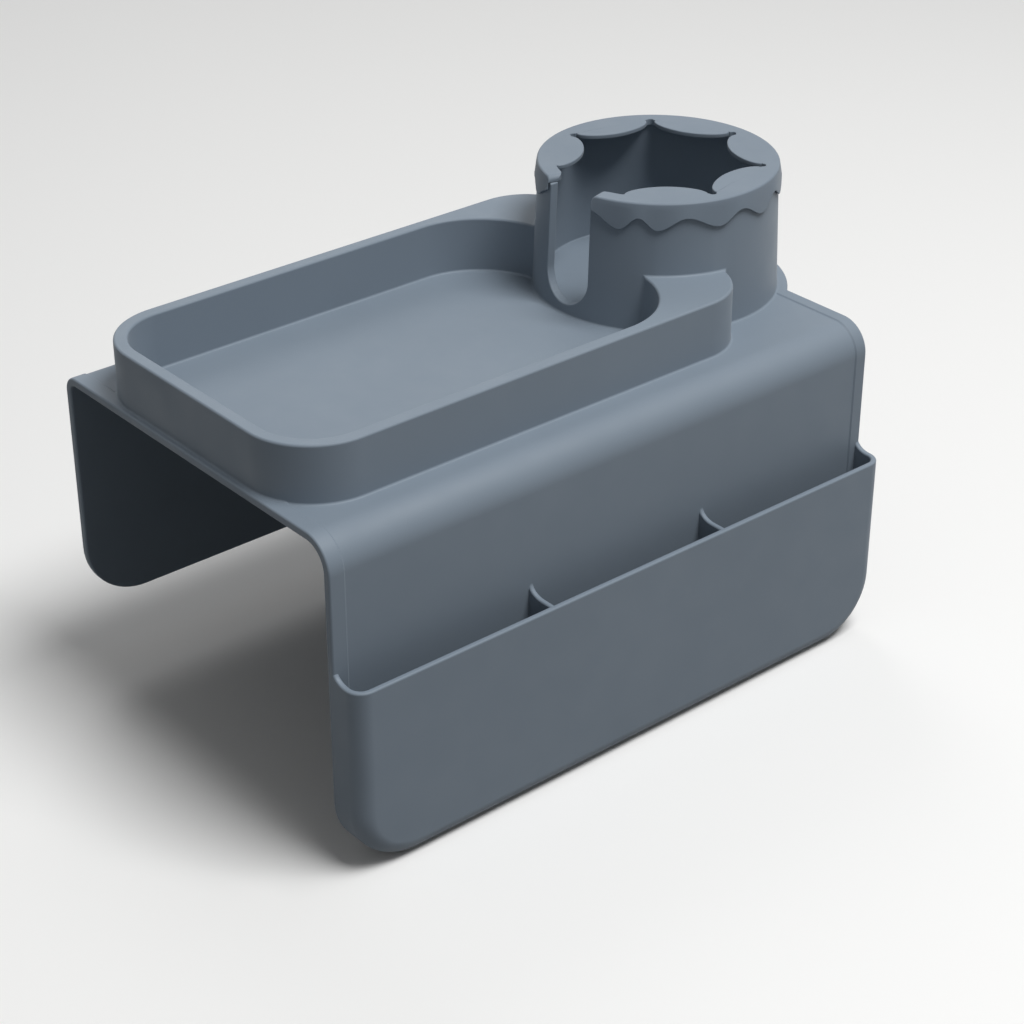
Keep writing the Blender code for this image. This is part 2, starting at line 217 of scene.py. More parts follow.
def choose_faces(piece: bpy.types.Object, wanted: Callable[[Vector, Vector], bool]) -> None:
    """Select faces by their middle and normal, in edit mode.

    Args:
        piece: the piece to edit.
        wanted: a test on a face's middle and its normal.
    """
    form = open_up(piece, Part.FACES)
    for face in form.faces:
        face.select_set(wanted(face.calc_center_median(), face.normal))
    bmesh.update_edit_mesh(piece.data)


def choose_edges(piece: bpy.types.Object, wanted: Callable[[Vector, Vector], bool]) -> None:
    """Select edges by their two ends, in edit mode.

    Args:
        piece: the piece to edit.
        wanted: a test on an edge's two ends.
    """
    form = open_up(piece, Part.EDGES)
    for edge in form.edges:
        edge.select_set(wanted(edge.verts[0].co, edge.verts[1].co))
    bmesh.update_edit_mesh(piece.data)


def choose_points(piece: bpy.types.Object, wanted: Callable[[Vector], bool]) -> None:
    """Select points by their place, in edit mode.

    Args:
        piece: the piece to edit.
        wanted: a test on a point's place.
    """
    form = open_up(piece, Part.POINTS)
    for point in form.verts:
        point.select_set(wanted(point.co))
    bmesh.update_edit_mesh(piece.data)


def round_chosen(radius: float, steps: int, part: Part = Part.EDGES) -> None:
    """Round the edges or points that are selected in edit mode.

    Args:
        radius: the rounding's radius.
        steps: its facets.
        part: whether edges or points are rounded.
    """
    affect = "VERTICES" if part is Part.POINTS else "EDGES"
    bpy.ops.mesh.bevel(offset=radius, segments=steps, affect=affect, clamp_overlap=False)


def draw_out(move: tuple[float, float, float]) -> None:
    """Extrude what is selected in edit mode."""
    bpy.ops.mesh.extrude_region_move(TRANSFORM_OT_translate={"value": move})


def slice_at(piece: bpy.types.Object, place: Vector, normal: Vector) -> None:
    """Cut a line of edges all round a piece, where a plane crosses it.

    Args:
        piece: the piece to edit.
        place: a point on the plane.
        normal: the plane's normal.
    """
    open_up(piece, Part.EDGES)
    bpy.ops.mesh.select_all(action="SELECT")
    bpy.ops.mesh.bisect(plane_co=place, plane_no=normal)


def apply_modifier(piece: bpy.types.Object, modifier: bpy.types.Modifier) -> None:
    """Turn a modifier's result into the piece's own mesh."""
    pick_up(piece)
    bpy.ops.object.modifier_apply(modifier=modifier.name)


def join_in(piece: bpy.types.Object, tool: bpy.types.Object, how: Joinery) -> None:
    """Add a second solid to a piece, or cut it out, and throw the second one away.

    Args:
        piece: the piece that stays.
        tool: the solid that is used up.
        how: whether it is added or cut out.
    """
    boolean = piece.modifiers.new(tool.name, "BOOLEAN")
    boolean.object = tool
    boolean.operation = how.value
    boolean.solver = "EXACT"
    apply_modifier(piece, boolean)
    bpy.data.objects.remove(tool, do_unlink=True)


def clean(piece: bpy.types.Object, join_flats: bool = True) -> None:
    """Merge doubled points and face everything outwards.

    Args:
        piece: the piece to clean.
        join_flats: whether lines on flat faces are dissolved too.
    """
    open_up(piece, Part.POINTS)
    bpy.ops.mesh.select_all(action="SELECT")
    bpy.ops.mesh.remove_doubles(threshold=TIDY)
    if join_flats:
        bpy.ops.mesh.dissolve_limited(angle_limit=FLAT_TURN)
    bpy.ops.mesh.select_all(action="SELECT")
    bpy.ops.mesh.normals_make_consistent(inside=False)
    put_down()


def merge_close(piece: bpy.types.Object, reach: float, wanted: Callable[[Vector], bool]) -> None:
    """Merge neighbouring points, so that no edge is shorter than its rounding can pass.

    Args:
        piece: the piece, before its edges are rounded.
        reach: points closer than this become one.
        wanted: a test on a point's place.
    """
    choose_points(piece, wanted)
    bpy.ops.mesh.remove_doubles(threshold=reach)
    put_down()


def round_edges(piece: bpy.types.Object, radius_of: Callable[[EdgeSite], float],
                steps: int) -> None:
    """Round every sharp edge at once, each by its own radius, so that corners blend.

    Args:
        piece: the piece to finish.
        radius_of: gives the radius wanted at an edge, or 0.
        steps: facets in each rounding.
    """
    form = bmesh.new()
    form.from_mesh(piece.data)
    layers = form.edges.layers.float
    weights = layers.get("bevel_weight_edge") or layers.new("bevel_weight_edge")
    radii = {}
    for edge in form.edges:
        turn = edge.calc_face_angle_signed(0)
        if abs(turn) > SOFT_TURN:
            start, end = (point.co for point in edge.verts)
            site = EdgeSite((start + end) / 2, (end - start).normalized(), turn)
            radii[edge] = radius_of(site)
    widest = max(radii.values())
    for edge in form.edges:
        edge[weights] = radii.get(edge, 0.0) / widest
    form.to_mesh(piece.data)
    form.free()
    rounding = piece.modifiers.new("rounding", "BEVEL")
    rounding.limit_method = "WEIGHT"
    rounding.width = widest
    rounding.segments = steps
    rounding.use_clamp_overlap = False
    rounding.loop_slide = False
    apply_modifier(piece, rounding)


def smooth(piece: bpy.types.Object) -> None:
    """Shade curves smooth and keep flats flat.

    Args:
        piece: the piece to finish.
    """
    pick_up(piece)
    bpy.ops.object.shade_smooth_by_angle(angle=SOFT_TURN)
    weighted = piece.modifiers.new("flats", "WEIGHTED_NORMAL")
    weighted.keep_sharp = True
    apply_modifier(piece, weighted)


# Finishes

def linear(colour: str) -> tuple[float, float, float, float]:
    """Turn an sRGB hex colour into linear RGBA.

    Args:
        colour: such as "#76828E".

    Returns:
        Four numbers from 0 to 1.
    """
    channels = []
    for place in (1, 3, 5):
        share = int(colour[place:place + 2], 16) / 255
        channels.append(share / 12.92 if share <= 0.04045 else ((share + 0.055) / 1.055) ** 2.4)
    return (*channels, 1.0)


def add_node(tree: bpy.types.NodeTree, kind: str, settings: dict[str, object],
             links: dict[str, bpy.types.NodeSocket]) -> bpy.types.Node:
    """Add a shader node.

    Args:
        tree: the material's node tree.
        kind: the node's type.
        settings: its properties, and its sockets' values by the socket's name.
        links: what feeds its sockets, by the socket's name.

    Returns:
        The node.
    """
    node = tree.nodes.new(kind)
    for name, value in settings.items():
        if name in node.inputs:
            node.inputs[name].default_value = value
        else:
            setattr(node, name, value)
    for name, source in links.items():
        tree.links.new(source, node.inputs[name])
    return node


@dataclass(frozen=True)
class MouldedSilicone:
    """Liquid silicone rubber from a fine-blasted mould.

    The eye reads it as a dense, matt, slightly dusty skin. The highlights are broad and
    soft, rounded edges catch a pale line, and the colour drifts very little.
    """

    name: str
    colour: str
    bloom: str                   # the paler tone where handling and dust dull the skin
    roughness: float = 0.52
    roughness_drift: float = 0.10
    index: float = 1.41          # silicone rubber
    cloud: float = 70 * MM       # size of the colour's slow drift
    flow: float = 16 * MM        # size of the gloss's drift
    grain: float = 0.55 * MM     # the mould's blasting, drawn coarser than its 0.1 mm to show
    grain_depth: float = 0.012 * MM
    grain_strength: float = 0.5
    most_bloom: float = 0.45     # how far the colour goes towards the bloom, at most
    sheen: float = 0.08          # the dusty look of rubber at a low angle
    sheen_roughness: float = 0.45

    def make(self) -> bpy.types.Material:
        """Build the material.

        Returns:
            The material, with patterns in the piece's own metres.
        """
        material = bpy.data.materials.new(self.name)
        material.use_nodes = True
        tree = material.node_tree
        shader = tree.nodes["Principled BSDF"]
        shader.inputs["IOR"].default_value = self.index
        shader.inputs["Sheen Weight"].default_value = self.sheen
        shader.inputs["Sheen Roughness"].default_value = self.sheen_roughness
        place = add_node(tree, "ShaderNodeTexCoord", {}, {}).outputs["Object"]
        cloud = self.noise(tree, place, self.cloud, 3.0)
        flow = self.noise(tree, place, self.flow, 4.0)
        grain = self.noise(tree, place, self.grain, 2.0)
        drift = add_node(tree, "ShaderNodeMapRange", {
            "From Min": 0.35, "From Max": 0.75, "To Min": 0.0, "To Max": self.most_bloom,
        }, {"Value": cloud})
        tone = add_node(tree, "ShaderNodeMix", {"data_type": "RGBA"}, {"Factor": drift.outputs[0]})
        tone.inputs[6].default_value = linear(self.colour)
        tone.inputs[7].default_value = linear(self.bloom)
        gloss = add_node(tree, "ShaderNodeMapRange", {
            "From Min": 0.3, "From Max": 0.7,
            "To Min": self.roughness, "To Max": self.roughness + self.roughness_drift,
        }, {"Value": flow})
        bump = add_node(tree, "ShaderNodeBump", {
            "Strength": self.grain_strength, "Distance": self.grain_depth}, {"Height": grain})
        tree.links.new(tone.outputs[2], shader.inputs["Base Color"])
        tree.links.new(gloss.outputs[0], shader.inputs["Roughness"])
        tree.links.new(bump.outputs[0], shader.inputs["Normal"])
        return material

    def noise(self, tree: bpy.types.NodeTree, place: bpy.types.NodeSocket, size: float,
              detail: float) -> bpy.types.NodeSocket:
        """Add a noise pattern of a real size.

        Args:
            tree: the material's node tree.
            place: the coordinates that it reads.
            size: the width of its spots in metres.
            detail: how many finer layers it has.

        Returns:
            The pattern's value.
        """
        scaled = add_node(tree, "ShaderNodeMapping", {"Scale": (1 / size,) * 3}, {"Vector": place})
        noise = add_node(tree, "ShaderNodeTexNoise", {"Scale": 1.0, "Detail": detail},
                         {"Vector": scaled.outputs[0]})
        return noise.outputs["Fac"]


def dress(piece: bpy.types.Object, finish: bpy.types.Material) -> None:
    """Give a piece its finish as its only material.

    Args:
        piece: the piece to dress.
        finish: its material.
    """
    piece.data.materials.clear()
    piece.data.materials.append(finish)
    log.info("%s: %d faces", piece.name, len(piece.data.polygons))


# The saddle and what hangs from it

@dataclass(frozen=True)
class Skin:
    """The silicone sheet that every part of the saddle shares.

    A flat band runs along each end, a little above the rest of the face.
    """

    edge: float = 1.0 * MM
    edge_steps: int = 4
    lap: float = 0.5 * MM         # flat run past a bend, where two pieces meet
    left_band: float = 7.4 * MM
    right_band: float = 6.4 * MM
    band_slope: float = 0.8 * MM
    band_height: float = 0.5 * MM
    bend_steps: int = 18
    corner_steps: int = 15

    @property
    def left(self) -> float:
        """The sheet's left end."""
        return box("front_bend")[0].x

    @property
    def right(self) -> float:
        """The sheet's right end."""
        return box("front_bend")[1].x

    @property
    def bands(self) -> tuple[tuple[float, int], ...]:
        """Each band's inner line, and the way from there into the band along X."""
        return ((self.left + self.left_band, -1), (self.right - self.right_band, 1))

    def sink_face(self, sheet: bpy.types.Object, outward: Vector, face: float) -> None:
        """Sink a sheet's face between the bands, so that they stand proud of it.

        Args:
            sheet: the sheet.
            outward: the face's unit normal.
            face: how far out the face lies, along that normal.
        """
        for line, way in self.bands:
            for place in (line, line - way * self.band_slope):
                slice_at(sheet, Vector((place, 0, 0)), Vector((1, 0, 0)))
        left, right = (line - way * self.band_slope / 2 for line, way in self.bands)
        choose_points(sheet, lambda co: abs(co.dot(outward) - face) < TIDY and left < co.x < right)
        bpy.ops.transform.translate(value=-outward * self.band_height)
        clean(sheet)

    def on_band(self, site: EdgeSite) -> bool:
        """Whether an edge is one of the two lines of a band's step, which stay as they are."""
        return abs(site.along.x) < 0.1 and any(
            -TIDY < (line - site.middle.x) * way < self.band_slope + TIDY
            for line, way in self.bands)

    def at_end(self, site: EdgeSite) -> bool:
        """Whether an edge runs along the sheet's left or right end."""
        return min(abs(site.middle.x - self.left), abs(site.middle.x - self.right)) < TIDY


@dataclass
class TopMoulding:
    """Deck, tray wall, cup sleeve and cup floor, moulded in one."""

    skin: Skin
    finish: bpy.types.Material
    fillet: float = 1.2 * MM
    tall_edge: float = 6.0 * MM      # upright edges longer than this belong to a wall
    corner_room: float = 2.04 * MM   # no facet line may stand closer to an inner corner
    shortest: float = 0.45 * MM      # points of the slot's edges closer than this are merged
    wall: float = 6.4 * MM
    tray_corner: float = 33 * MM
    horn_tip_radius: float = 30 * MM
    horn_tip_setback: float = 38.8 * MM
    throat_radius: float = 40 * MM
    throat_setback: float = 83.4 * MM
    sleeve_wall: float = 4.5 * MM
    sleeve_draft: float = 2.2 * MM
    draft_fade: float = 16 * MM      # how far along the horns the sleeve's lean dies out
    sleeve_sides: int = 120
    lobe_sides: int = 96
    slot_width: float = 28.2 * MM
    slot_sill: float = 5 * MM
    slot_edge: float = 0.8 * MM
    corner_steps: int = 24
    fillet_steps: int = 4

    @property
    def deck(self) -> tuple[Vector, Vector]:
        """The deck's lowest and highest corners."""
        return box("deck")

    @property
    def top(self) -> float:
        """The deck's top face between the bands."""
        return self.deck[1].z - self.skin.band_height

    @property
    def sleeve(self) -> tuple[Vector, Vector]:
        """The cup sleeve's lowest and highest corners."""
        return box("cup_sleeve")

    @property
    def axis(self) -> Vector:
        """A point on the cup's axis."""
        return (self.sleeve[0] + self.sleeve[1]) / 2

    @property
    def foot_radius(self) -> float:
        """The sleeve's outer radius at the deck."""
        return (self.sleeve[1].y - self.sleeve[0].y) / 2

    @property
    def lobe_radius(self) -> float:
        """The radius of the deck's round lobe."""
        return self.deck[1].x - self.axis.x

    def build(self) -> None:
        """Model the moulding, riding on the saddle."""
        piece = self.sheet()
        join_in(piece, self.wall_block("tray_wall_outside", 0), Joinery.ADD)
        join_in(piece, self.wall_block("tray_inside", self.wall), Joinery.CUT)
        low, high = self.sleeve
        bore = self.foot_radius - self.sleeve_wall
        sink = self.top / 2
        join_in(piece, add_drum("sleeve_outside", self.foot_radius, self.axis, sink, high.z,
                                self.sleeve_sides), Joinery.ADD)
        floor = box("cup_floor")[1].z
        join_in(piece, add_drum("sleeve_inside", bore, self.axis, floor, high.z + REACH,
                                self.sleeve_sides), Joinery.CUT)
        join_in(piece, self.slot_cutter(), Joinery.CUT)
        clean(piece)
        merge_close(piece, self.shortest, lambda co: co.x < self.axis.x
                    and abs(co.y - self.axis.y) < self.slot_width / 2 + TIDY
                    and self.deck[1].z + self.slot_sill - TIDY < co.z < high.z - TIDY)
        self.clear_corners(piece)
        round_edges(piece, self.radius_at, self.fillet_steps)
        clean(piece)
        self.draft(piece)
        smooth(piece)
        dress(piece, self.finish)
        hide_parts("deck", "tray_wall", "cup_sleeve", "cup_floor")
        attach(piece, "saddle")

    def sheet(self) -> bpy.types.Object:
        """The flat deck with its round lobe and two raised bands.

        Returns:
            The deck, with sharp edges.
        """
        low, high = self.deck
        front = Vector((self.skin.left, low.y + self.skin.lap, low.z))
        rear = Vector((self.skin.right, high.y - self.skin.lap, high.z))
        deck = add_block("deck_tray_and_sleeve", front, rear)
        lobe = add_drum("lobe", self.lobe_radius, self.axis, low.z, high.z, self.lobe_sides)
        join_in(deck, lobe, Joinery.ADD)
        clean(deck)
        self.skin.sink_face(deck, Vector((0, 0, 1)), high.z)
        return deck

    def wall_block(self, name: str, inset: float) -> bpy.types.Object:
        """The tray wall's outside, or its inside where an inset is given.

        Args:
            name: the block's name.
            inset: how far inside the wall's outer face it lies.

        Returns:
            A block with four round upright corners.
        """
        low, high = box("tray_wall")
        rim = high.z
        if inset:
            right = self.axis.x - self.throat_setback + self.throat_radius
            heights = (self.top, rim + REACH)
            far_radius = self.throat_radius
        else:
            right = self.axis.x - self.horn_tip_setback + self.horn_tip_radius
            heights = (self.top / 2, rim)
            far_radius = self.horn_tip_radius
        block = add_block(name, (low.x + inset, low.y + inset, heights[0]),
                          (right, high.y - inset, heights[1]))
        for side, radius in ((low.x + inset, self.tray_corner - inset), (right, far_radius)):
            choose_edges(block, lambda a, b: abs(a.x - side) < TIDY and abs(b.x - side) < TIDY
                         and abs(a.y - b.y) < TIDY)
            round_chosen(radius, self.corner_steps)
        put_down()
        return block

    def slot_cutter(self) -> bpy.types.Object:
        """Model the space of the handle slot.

        Returns:
            A round-bottomed cutter.
        """
        half = self.slot_width / 2
        sill = self.deck[1].z + self.slot_sill
        cutter = add_block(
            "handle_slot",
            (self.axis.x - self.foot_radius - REACH, self.axis.y - half, sill),
            (self.axis.x, self.axis.y + half, self.sleeve[1].z + REACH))
        choose_edges(cutter, lambda a, b: max(a.z, b.z) < sill + TIDY
                     and abs(a.x - b.x) > REACH)
        round_chosen(half - TIDY, self.corner_steps)
        put_down()
        return cutter

    def clear_corners(self, piece: bpy.types.Object) -> None:
        """Dissolve the facet lines that stand too close to an upright inner corner.

        Args:
            piece: the moulding, before its edges are rounded.
        """
        form = open_up(piece, Part.EDGES)
        upright = []
        corners = []
        for edge in form.edges:
            start, end = (point.co for point in edge.verts)
            lean = hypot(start.x - end.x, start.y - end.y)
            if abs(start.z - end.z) > self.tall_edge and lean < TIDY:
                turn = edge.calc_face_angle_signed(0)
                upright.append((edge, turn, start))
                if turn < -SOFT_TURN:
                    corners.append(start)
        for edge, turn, start in upright:
            near = [hypot(start.x - c.x, start.y - c.y) for c in corners]
            if abs(turn) < SOFT_TURN and near and min(near) < self.corner_room:
                edge.select_set(True)
        bmesh.update_edit_mesh(piece.data)
        bpy.ops.mesh.dissolve_edges(use_verts=True)
        put_down()

    def radius_at(self, site: EdgeSite) -> float:
        """How far to round an edge of the moulding.

        Args:
            site: the edge.

        Returns:
            The radius, or 0 where the edge stays sharp.
        """
        place = site.middle
        out = hypot(place.x - self.axis.x, place.y - self.axis.y)
        low, high = self.deck
        seam = (low.y + self.skin.lap, high.y - self.skin.lap)
        if min(abs(place.y - seam[0]), abs(place.y - seam[1])) < TIDY:
            return 0.0
        if place.z < high.z + TIDY and self.skin.on_band(site):
            return 0.0
        in_slot = abs(place.y - self.axis.y) < self.slot_width / 2 + TIDY
        at_wall = self.foot_radius - self.sleeve_wall - MM < out < self.foot_radius + TIDY
        above_sill = place.z > self.deck[1].z + self.slot_sill - TIDY
        if in_slot and at_wall and above_sill and place.x < self.axis.x:
            return self.slot_edge
        if place.z > self.sleeve[1].z - TIDY:
            return self.slot_edge
        if abs(place.z - box("cup_floor")[1].z) < TIDY and out < self.foot_radius:
            return self.slot_edge
        on_lobe = out > self.lobe_radius - MM / 2 and place.z < self.top + MM
        if self.skin.at_end(site) or (on_lobe and place.x > self.skin.right - TIDY):
            return self.skin.edge
        return self.fillet

    def draft(self, piece: bpy.types.Object) -> None:
        """Lean the sleeve in towards its top, fading out along the horns.

        Args:
            piece: the moulding with an upright sleeve.
        """
        height = self.sleeve[1].z - self.top
        for point in piece.data.vertices:
            away = Vector((point.co.x - self.axis.x, point.co.y - self.axis.y))
            out = away.length
            if point.co.z > self.top and out > self.foot_radius / 2:
                share = 1 - min(max(out - self.foot_radius, 0) / self.draft_fade, 1)
                pull = self.sleeve_draft * share * (point.co.z - self.top) / height
                point.co.x -= away.x / out * pull
                point.co.y -= away.y / out * pull


class Side(Enum):
    """Which way a bend and its hanging sheet face."""

    FRONT = -1
    REAR = 1


@dataclass
class Bend:
    """A quarter bend of the skin over one edge of the sofa's arm."""

    side: Side
    skin: Skin
    finish: bpy.types.Material

    @property
    def node(self) -> str:
        """The frame's node for this bend."""
        return "front_bend" if self.side is Side.FRONT else "rear_bend"

    @property
    def hanging_body(self) -> str:
        """The body that the bend leads to."""
        return "pocket_panel" if self.side is Side.FRONT else "rear_panel"

    def build(self) -> None:
        """Model the bend, blended from the saddle to the hanging panel."""
        skin = self.skin
        out = self.side.value
        low, high = box(self.node)
        deck = box("deck")
        start = deck[0].y if self.side is Side.FRONT else deck[1].y
        face = low.y if self.side is Side.FRONT else high.y
        radius = abs(face - start)
        rows = sorted((start, start - out * skin.lap))
        piece = add_block(self.node + "_skin", (skin.left, rows[0], deck[0].z),
                          (skin.right, rows[1], deck[1].z))
        skin.sink_face(piece, Vector((0, 0, 1)), deck[1].z)
        round_edges(piece, lambda site: skin.edge if skin.at_end(site)
                    and abs(site.along.y) > 0.9 else 0.0, skin.edge_steps)
        choose_faces(piece, lambda middle, normal: abs(middle.y - start) < TIDY)
        bpy.ops.mesh.spin(steps=skin.bend_steps, angle=out * SQUARE,
                          center=(0, start, deck[1].z - radius), axis=(1, 0, 0))
        draw_out((0, 0, -skin.lap))
        clean(piece)
        smooth(piece)
        dress(piece, self.finish)
        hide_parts(self.node)
        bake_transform(piece, "saddle", self.hanging_body, start=(0, start, deck[1].z),
                 end=(0, start, deck[1].z - radius))


@dataclass
class HangingSheet:
    """A flat sheet that hangs from a bend, with two round lower corners."""

    side: Side
    skin: Skin
    finish: bpy.types.Material
    corner: float = 30 * MM

    @property
    def node(self) -> str:
        """The frame's node for this sheet."""
        return "front_panel" if self.side is Side.FRONT else "rear_flap"

    @property
    def face(self) -> float:
        """The sheet's outer face."""
        return box(self.node)[0 if self.side is Side.FRONT else 1].y

    @property
    def bottom(self) -> float:
        """The sheet's lower edge."""
        return box(self.node)[0].z

    @property
    def top(self) -> float:
        """The line where the sheet meets its bend."""
        bend = box("front_bend" if self.side is Side.FRONT else "rear_bend")
        return bend[0].z - self.skin.lap

    def sheet(self, name: str) -> bpy.types.Object:
        """The flat sheet with its two raised bands.

        Args:
            name: the piece's name.

        Returns:
            The sheet, with sharp edges.
        """
        low, high = box(self.node)
        piece = add_block(name, (self.skin.left, low.y, low.z),
                          (self.skin.right, high.y, self.top))
        choose_edges(piece, lambda a, b: max(a.z, b.z) < low.z + TIDY and abs(a.x - b.x) < TIDY)
        round_chosen(self.corner, self.skin.corner_steps)
        put_down()
        self.skin.sink_face(piece, Vector((0, self.side.value, 0)), self.face * self.side.value)
        return piece

    def radius_at(self, site: EdgeSite) -> float:
        """How far to round an edge of the sheet: nothing where it meets its bend.

        Args:
            site: the edge.

        Returns:
            The radius, or 0.
        """
        if abs(site.middle.z - self.top) < TIDY or self.skin.on_band(site):
            return 0.0
        return self.skin.edge


@dataclass
class RearFlap(HangingSheet):
    """The plain flap behind the arm."""

    def build(self) -> None:
        """Model the flap, riding on the rear panel."""
        piece = self.sheet("rear_flap_skin")
        round_edges(piece, self.radius_at, self.skin.edge_steps)
        clean(piece)
        smooth(piece)
        dress(piece, self.finish)
        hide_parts("rear_flap")
        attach(piece, "rear_panel")


@dataclass
class PocketPanel(HangingSheet):
    """The front panel with its three-compartment pocket, moulded in one."""

    wall: float = 2.8 * MM
    pocket_edge: float = 8 * MM
    rim_edge: float = 1.0 * MM
    rim_drop: float = 64 * MM
    rim_rise: float = 5 * MM
    edge_steps: int = 8
    spare: float = 2 * MM            # how far the pocket's block stands over its rim

    @property
    def pocket_front(self) -> float:
        """The pocket's front face."""
        return box("pocket_shell")[0].y

    @property
    def rim(self) -> float:
        """The height of the pocket's rim along its front."""
        return box("deck")[1].z - self.rim_drop

    @property
    def back(self) -> float:
        """The panel's face between the bands, which the compartments end at."""
        return self.face + self.skin.band_height

    @property
    def run(self) -> float:
        """How long the rim's climb is: from just past the pocket's corner to the panel."""
        return self.back - self.pocket_front - self.pocket_edge - self.wall / 4

    def build(self) -> None:
        """Model panel and pocket, riding on the pocket's body."""
        piece = self.sheet("front_panel_and_pocket")
        self.grow_pocket(piece)
        join_in(piece, self.hollow_cutter(), Joinery.CUT)
        clean(piece)
        round_edges(piece, self.radius_at, self.skin.edge_steps)
        clean(piece)
        smooth(piece)
        dress(piece, self.finish)
        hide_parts("front_panel", "pocket_shell", "pocket_divider_left",
                    "pocket_divider_right")
        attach(piece, "pocket_panel")

    def grow_pocket(self, piece: bpy.types.Object) -> None:
        """Draw the pocket's outside out of the panel's face.

        Args:
            piece: the panel.
        """
        reach = self.rim + self.rim_rise + self.spare
        slice_at(piece, Vector((0, 0, reach)), Vector((0, 0, 1)))
        put_down()
        choose_faces(piece, lambda middle, normal: normal.y < -0.5 and middle.z < reach)
        depth = self.pocket_front - self.face
        draw_out((0, depth, 0))
        put_down()
        for point in piece.data.vertices:
            if point.co.y < (self.face + self.pocket_front) / 2:
                point.co.y = self.pocket_front
        clean(piece)
        choose_edges(piece, lambda a, b: max(a.y, b.y) < self.pocket_front + TIDY
                     and min(a.z, b.z) < reach - TIDY)
        round_chosen(self.pocket_edge, self.edge_steps)
        put_down()

    def hollow_cutter(self) -> bpy.types.Object:
        """Model the space of the three compartments and all above the rim.

        Its inner corners are rounded before it is trimmed at the panel's face, so that the
        rounded rim runs out smoothly into the panel.

        Returns:
            A cutter.
        """
        cutter = self.compartments()
        join_in(cutter, self.over_rim(), Joinery.ADD)
        clean(cutter)
        round_edges(cutter, lambda site: self.rim_edge if site.turn < 0 else 0.0,
                    self.skin.edge_steps)
        low = Vector((self.skin.left - 2 * REACH, self.back, self.bottom - REACH))
        high = Vector((self.skin.right + 2 * REACH, self.back + 2 * REACH, self.top + REACH))
        join_in(cutter, add_block("behind_face", low, high), Joinery.CUT)
        for line, way in self.skin.bands:
            join_in(cutter, self.band_strip(line, way), Joinery.CUT)
        clean(cutter)
        return cutter

    def compartments(self) -> bpy.types.Object:
        """Model the three hollows, reaching back past the panel's face.

        Returns:
            A cutter with gaps for the dividers.
        """
        inner_edge = self.pocket_edge - self.wall
        low = Vector((self.skin.left + self.wall, self.pocket_front + self.wall,
                      self.bottom + self.wall))
        high = Vector((self.skin.right - self.wall, self.back + REACH,
                       self.rim + 2 * self.rim_rise))
        cutter = add_block("hollow", low, high)
        choose_edges(cutter, lambda a, b: max(a.z, b.z) < low.z + TIDY and abs(a.x - b.x) < TIDY)
        round_chosen(self.corner - self.wall, self.skin.corner_steps)
        choose_edges(cutter, lambda a, b: max(a.y, b.y) < low.y + TIDY
                     and min(a.z, b.z) < high.z - TIDY)
        round_chosen(inner_edge, self.edge_steps)
        put_down()
        for name in ("pocket_divider_left", "pocket_divider_right"):
            left, right = box(name)
            divider = add_block(name + "_place", (left.x, low.y - REACH, low.z - REACH),
                                (right.x, high.y + REACH, high.z + REACH))
            join_in(cutter, divider, Joinery.CUT)
        return cutter

    def over_rim(self) -> bpy.types.Object:
        """Model the space above the rim, which climbs to the panel in a quarter ellipse.

        Returns:
            A cutter.
        """
        low = Vector((self.skin.left - REACH, self.pocket_front - REACH, self.rim))
        high = Vector((self.skin.right + REACH, self.back, self.rim + 3 * self.rim_rise))
        cutter = add_block("over_rim", low, high)
        choose_edges(cutter, lambda a, b: max(a.z, b.z) < low.z + TIDY
                     and min(a.y, b.y) > high.y - TIDY)
        round_chosen(self.rim_rise, self.edge_steps)
        put_down()
        for point in cutter.data.vertices:
            if point.co.y > high.y - self.rim_rise - TIDY:
                point.co.y = high.y + (point.co.y - high.y) * self.run / self.rim_rise
        return cutter

    def band_strip(self, line: float, way: int) -> bpy.types.Object:
        """The space of one of the panel's bands, which the cutter has to leave standing.

        Args:
            line: the band's inner line.
            way: the way from there into the band along X.

        Returns:
            A block with the slope of the band's step.
        """
        skin = self.skin
        left, right = sorted((line, way * (skin.right + 2 * REACH)))
        strip = add_block("band_place", (left, self.face, self.bottom),
                          (right, self.face + REACH, self.rim + 3 * REACH))
        for point in strip.data.vertices:
            if abs(point.co.x - line) < TIDY:
                depth = point.co.y - self.face
                point.co.x -= way * skin.band_slope * depth / skin.band_height
        return strip

    def radius_at(self, site: EdgeSite) -> float:
        """How far to round an edge: the outer ones only, as the cutter rounds the inner ones.

        Args:
            site: the edge.

        Returns:
            The radius, or 0.
        """
        place = site.middle
        if abs(place.z - self.top) < TIDY or self.skin.on_band(site):
            return 0.0
        inside = self.skin.right - self.pocket_edge > abs(place.x)
        if site.turn < 0 or (inside and place.y > self.pocket_front + self.wall
                             and place.z > self.bottom + self.wall):
            return 0.0
        return self.rim_edge


# The cap

